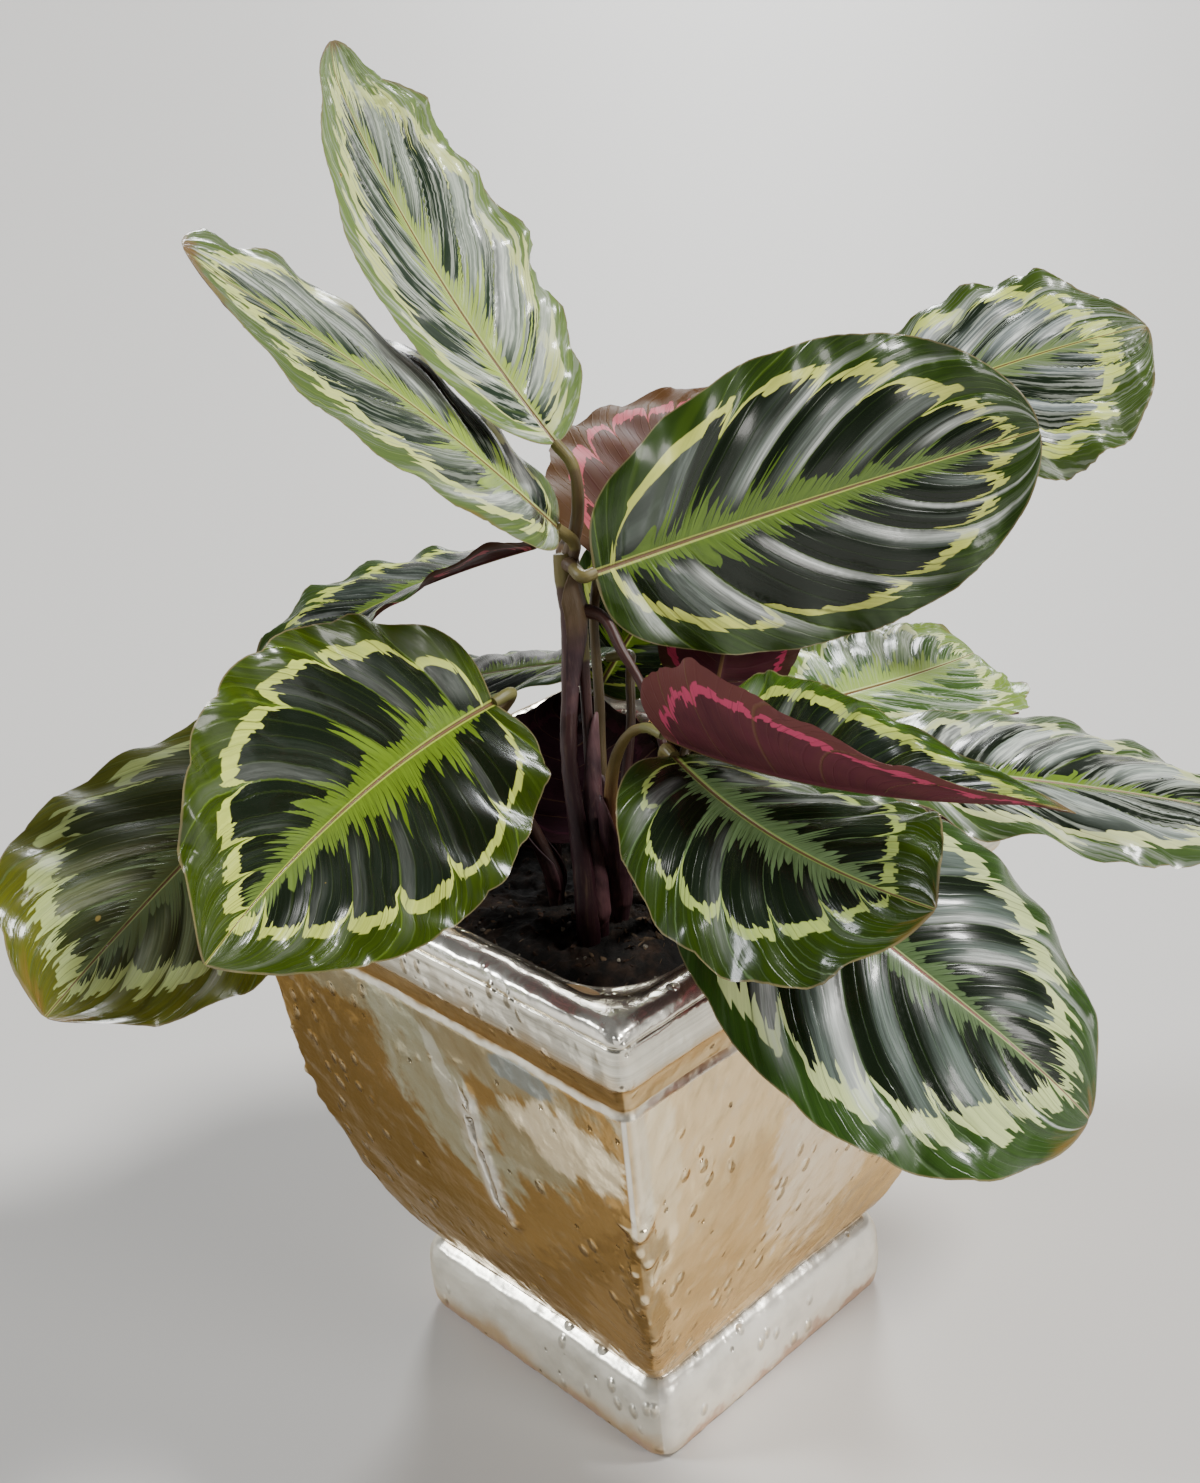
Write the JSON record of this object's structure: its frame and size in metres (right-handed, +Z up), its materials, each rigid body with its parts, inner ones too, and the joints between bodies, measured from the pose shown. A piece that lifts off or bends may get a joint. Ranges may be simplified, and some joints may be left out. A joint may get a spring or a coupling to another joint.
{
  "type": "potted prayer plant",
  "caption": "Prayer plant with broad patterned leaves, dark green with a pale feathered ring, on purple stalks in a square footed pot with a metallic lustre glaze.",
  "frame": {"origin": "centre of the pot's foot, on the surface it stands on", "axes": "+Z up; the pot's four sides face along X and Y, and its pictured corner points to +X -Y"},
  "size_m": [0.3299, 0.463, 0.4817],
  "materials": {
    "lustre_glaze": "metallic lustre glaze, silver on the lip and foot and bronze on the body, pitted and run",
    "potting_mix": "rough dark crumb with bark and perlite",
    "stalk": "satin purple-brown, olive near the blades",
    "leaf": "glossy dark green above with a pale feathered ring, purple-brown below"
  },
  "bodies": {
    "root": {"pot": "lustre_glaze", "soil": "potting_mix", "shoot_main": "stalk", "stalk_back_right": "stalk", "stalk_back_centre": "stalk", "stalk_front_left": "stalk", "stalk_low_left": "stalk", "stalk_back_left": "stalk", "stalk_folded": "stalk", "stalk_low_right": "stalk", "stalk_far_right": "stalk", "stalk_pale_right": "stalk", "stalk_inner_right": "stalk", "stalk_inner_left": "stalk", "stalk_inner_back": "stalk", "leaf_crown": "leaf", "leaf_upper_left": "leaf", "leaf_upper_right": "leaf", "leaf_back_right": "leaf", "leaf_back_centre": "leaf", "leaf_mid_left": "leaf", "leaf_front_left": "leaf", "leaf_low_left": "leaf", "leaf_back_left": "leaf", "leaf_folded": "leaf", "leaf_front_right": "leaf", "leaf_low_right": "leaf", "leaf_far_right": "leaf", "leaf_pale_right": "leaf", "leaf_inner_right": "leaf", "leaf_inner_left": "leaf", "leaf_inner_back": "leaf"}
  },
  "joints": []
}
